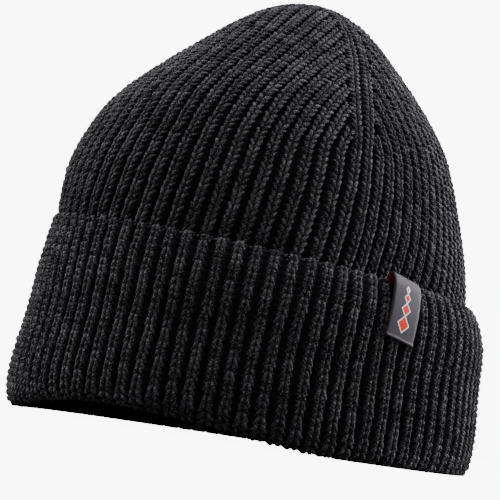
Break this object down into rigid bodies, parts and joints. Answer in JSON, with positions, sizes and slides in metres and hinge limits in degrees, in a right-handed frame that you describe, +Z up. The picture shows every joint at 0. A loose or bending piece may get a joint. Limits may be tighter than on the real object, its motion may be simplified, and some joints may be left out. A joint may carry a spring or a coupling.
{
  "type": "cuffed rib-knit beanie",
  "caption": "Close-fitting rib-knit winter hat with a deep turned-up cuff, a rounded crown gathered along decrease lines, and a small woven side label.",
  "frame": {"origin": "on the surface that the hat stands on, under the middle of the opening", "axes": "+Z up towards the tip, -Y the wearer's front, +X the wearer's left, where the label is"},
  "size_m": [0.185, 0.2088, 0.188],
  "materials": {
    "knit": "chunky knitted yarn, charcoal black, matte and slightly fuzzy",
    "ribbon": "woven satin ribbon, dark grey with a soft sheen"
  },
  "bodies": {
    "root": {"crown": "knit", "cuff": "knit", "label": "ribbon"}
  },
  "joints": []
}
